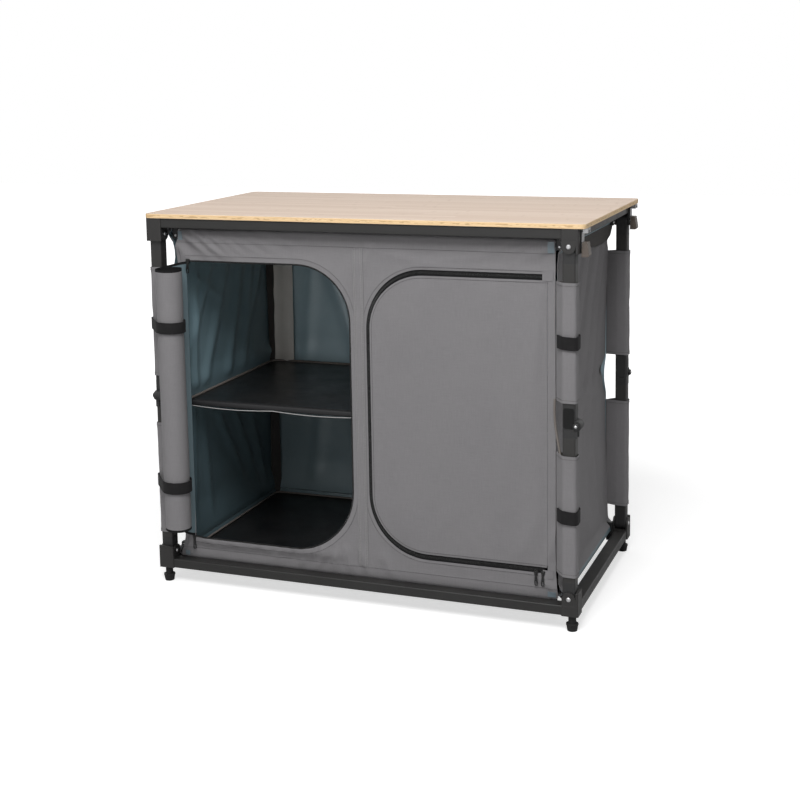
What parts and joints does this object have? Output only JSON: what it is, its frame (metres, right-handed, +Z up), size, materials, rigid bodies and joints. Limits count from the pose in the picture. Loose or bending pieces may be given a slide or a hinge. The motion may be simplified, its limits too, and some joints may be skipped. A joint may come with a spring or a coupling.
{
  "type": "camping kitchen unit",
  "caption": "Folding camping cupboard with a bamboo worktop, a knee-legged black frame, a grey fabric body with shelf bays, one door rolled open and one zipped shut.",
  "frame": {"origin": "on the floor, under the middle of the whole unit's box", "axes": "+X along the worktop's length to the right, -Y towards the doors, +Z up"},
  "size_m": [0.9682, 0.5883, 0.82],
  "materials": {
    "rail_black": "satin powder coat",
    "cast_black": "matt powder coat",
    "tube_black": "satin powder coat",
    "fitting_black": "moulded, fine texture",
    "knob_black": "moulded",
    "holder_plastic": "moulded",
    "rivet_steel": "bright",
    "rod_steel": "zinc plated",
    "clip_steel": "rolled sheet",
    "grip_brown": "moulded",
    "foot_rubber": "matt",
    "bamboo": "satin lacquer",
    "board_black": "matt foil",
    "cloth_grey": "plain weave polyester",
    "cloth_lining": "coated back of the cloth",
    "webbing_black": "hook and loop webbing",
    "zip_black": "zip tape",
    "slider_black": "lacquered"
  },
  "bodies": {
    "base": {"base_rails_long": "rail_black", "base_rails_short": "rail_black", "base_corners": "cast_black", "base_pivot_pins": "rivet_steel", "base_rods": "rod_steel", "base_rod_holders": "holder_plastic", "floor_board": "board_black", "cover_front": "cloth_grey", "cover_back": "cloth_grey", "cover_left": "cloth_grey", "cover_right": "cloth_grey", "cover_floor": "cloth_lining", "cover_divider": "cloth_lining", "leg_sleeves": "cloth_grey", "straps": "webbing_black", "door_left_roll": "cloth_grey", "zip_left": "zip_black", "zip_right": "zip_black", "zip_sliders_parked": "slider_black"},
    "foot_front_right": {"foot_front_right": "foot_rubber"},
    "lower_leg_front_right": {"lower_tube_front_right": "tube_black", "lower_fittings_front_right": "fitting_black", "knee_pin_front_right": "knob_black"},
    "upper_leg_front_right": {"upper_tube_front_right": "tube_black", "upper_fittings_front_right": "fitting_black"},
    "foot_back_right": {"foot_back_right": "foot_rubber"},
    "lower_leg_back_right": {"lower_tube_back_right": "tube_black", "lower_fittings_back_right": "fitting_black", "knee_pin_back_right": "knob_black"},
    "upper_leg_back_right": {"upper_tube_back_right": "tube_black", "upper_fittings_back_right": "fitting_black"},
    "foot_back_left": {"foot_back_left": "foot_rubber"},
    "lower_leg_back_left": {"lower_tube_back_left": "tube_black", "lower_fittings_back_left": "fitting_black", "knee_pin_back_left": "knob_black"},
    "upper_leg_back_left": {"upper_tube_back_left": "tube_black", "upper_fittings_back_left": "fitting_black"},
    "foot_front_left": {"foot_front_left": "foot_rubber"},
    "lower_leg_front_left": {"lower_tube_front_left": "tube_black", "lower_fittings_front_left": "fitting_black", "knee_pin_front_left": "knob_black"},
    "upper_leg_front_left": {"upper_tube_front_left": "tube_black", "upper_fittings_front_left": "fitting_black"},
    "top_frame": {"top_rails_long": "rail_black", "top_rails_short": "rail_black", "top_corners": "cast_black", "top_pivot_pins": "rivet_steel", "top_rods": "rod_steel", "top_rod_holders": "holder_plastic"},
    "worktop": {"worktop": "bamboo", "worktop_plates": "clip_steel"},
    "clip_front": {"clip_front": "clip_steel", "clip_grip_front": "grip_brown"},
    "clip_back": {"clip_back": "clip_steel", "clip_grip_back": "grip_brown"},
    "shelf_left": {"shelf_left": "board_black"},
    "shelf_right": {"shelf_right": "board_black"},
    "door_right": {"door_right": "cloth_grey"},
    "zip_slider": {"zip_slider": "slider_black"}
  },
  "joints": [
    {"name": "fold", "type": "hinge", "parent": "base", "child": "lower_leg_front_right", "pos_m": [0.4465, -0.2195, 0.068], "axis": [0, -1, 0], "range_deg": [0, 88], "deforming": ["cover_front", "cover_back", "cover_left", "cover_right", "cover_divider", "leg_sleeves", "straps", "door_left_roll", "door_right", "zip_left", "zip_right", "zip_slider", "zip_sliders_parked"]},
    {"name": "knee_front_right", "type": "hinge", "parent": "lower_leg_front_right", "child": "upper_leg_front_right", "pos_m": [0.461, -0.2195, 0.4215], "axis": [0, -1, 0], "range_deg": [-177, 1]},
    {"name": "fold_back_right", "type": "hinge", "parent": "base", "child": "lower_leg_back_right", "pos_m": [0.449, 0.267, 0.068], "axis": [1, 0, 0], "range_deg": [-1, 89]},
    {"name": "knee_back_right", "type": "hinge", "parent": "lower_leg_back_right", "child": "upper_leg_back_right", "pos_m": [0.449, 0.2815, 0.4215], "axis": [1, 0, 0], "range_deg": [-177, 1]},
    {"name": "fold_back_left", "type": "hinge", "parent": "base", "child": "lower_leg_back_left", "pos_m": [-0.4595, 0.2695, 0.068], "axis": [0, 1, 0], "range_deg": [-1, 89]},
    {"name": "knee_back_left", "type": "hinge", "parent": "lower_leg_back_left", "child": "upper_leg_back_left", "pos_m": [-0.474, 0.2695, 0.4215], "axis": [0, 1, 0], "range_deg": [-177, 1]},
    {"name": "fold_front_left", "type": "hinge", "parent": "base", "child": "lower_leg_front_left", "pos_m": [-0.462, -0.217, 0.068], "axis": [-1, 0, 0], "range_deg": [-1, 89]},
    {"name": "knee_front_left", "type": "hinge", "parent": "lower_leg_front_left", "child": "upper_leg_front_left", "pos_m": [-0.462, -0.2315, 0.4215], "axis": [-1, 0, 0], "range_deg": [-177, 1]},
    {"name": "top_fold", "type": "hinge", "parent": "upper_leg_front_right", "child": "top_frame", "pos_m": [0.4465, -0.2195, 0.775], "axis": [0, -1, 0], "range_deg": [-1, 89]},
    {"name": "shelf_left_drop", "type": "slide", "parent": "base", "child": "shelf_left", "axis": [0, 0, 1], "range_m": [-0.33, 0.005]},
    {"name": "shelf_right_drop", "type": "slide", "parent": "base", "child": "shelf_right", "axis": [0, 0, 1], "range_m": [-0.33, 0.005]},
    {"name": "worktop_lift", "type": "slide", "parent": "top_frame", "child": "worktop", "axis": [0, 0, 1], "range_m": [0, 0.06]},
    {"name": "clip_front_open", "type": "hinge", "parent": "worktop", "child": "clip_front", "pos_m": [0.4765, -0.21, 0.8036], "axis": [0, -1, 0], "range_deg": [0, 20], "stiffness_Nm_per_rad": 0.4},
    {"name": "clip_back_open", "type": "hinge", "parent": "worktop", "child": "clip_back", "pos_m": [0.4765, 0.26, 0.8036], "axis": [0, -1, 0], "range_deg": [0, 20], "stiffness_Nm_per_rad": 0.4},
    {"name": "foot_front_right_screw", "type": "slide", "parent": "base", "child": "foot_front_right", "axis": [0, 0, 1], "range_m": [-0.012, 0]},
    {"name": "foot_back_right_screw", "type": "slide", "parent": "base", "child": "foot_back_right", "axis": [0, 0, 1], "range_m": [-0.012, 0]},
    {"name": "foot_back_left_screw", "type": "slide", "parent": "base", "child": "foot_back_left", "axis": [0, 0, 1], "range_m": [-0.012, 0]},
    {"name": "foot_front_left_screw", "type": "slide", "parent": "base", "child": "foot_front_left", "axis": [0, 0, 1], "range_m": [-0.012, 0]},
    {"name": "door_right_swing", "type": "hinge", "parent": "base", "child": "door_right", "pos_m": [0.3973, -0.20665, 0.41], "axis": [0, 0, 1], "range_deg": [0, 120]},
    {"name": "zip_slide", "type": "slide", "parent": "base", "child": "zip_slider", "axis": [-1, 0, 0], "range_m": [0, 0.24]}
  ],
  "couplings": [
    {"joint": "knee_front_right", "follows": "fold", "ratio": -2},
    {"joint": "fold_back_right", "follows": "fold", "ratio": 1},
    {"joint": "knee_back_right", "follows": "fold", "ratio": -2},
    {"joint": "fold_back_left", "follows": "fold", "ratio": 1},
    {"joint": "knee_back_left", "follows": "fold", "ratio": -2},
    {"joint": "fold_front_left", "follows": "fold", "ratio": 1},
    {"joint": "knee_front_left", "follows": "fold", "ratio": -2},
    {"joint": "top_fold", "follows": "fold", "ratio": 1},
    {"joint": "shelf_left_drop", "follows": "fold", "m_per_rad": -0.2116},
    {"joint": "shelf_right_drop", "follows": "fold", "m_per_rad": -0.2116}
  ]
}
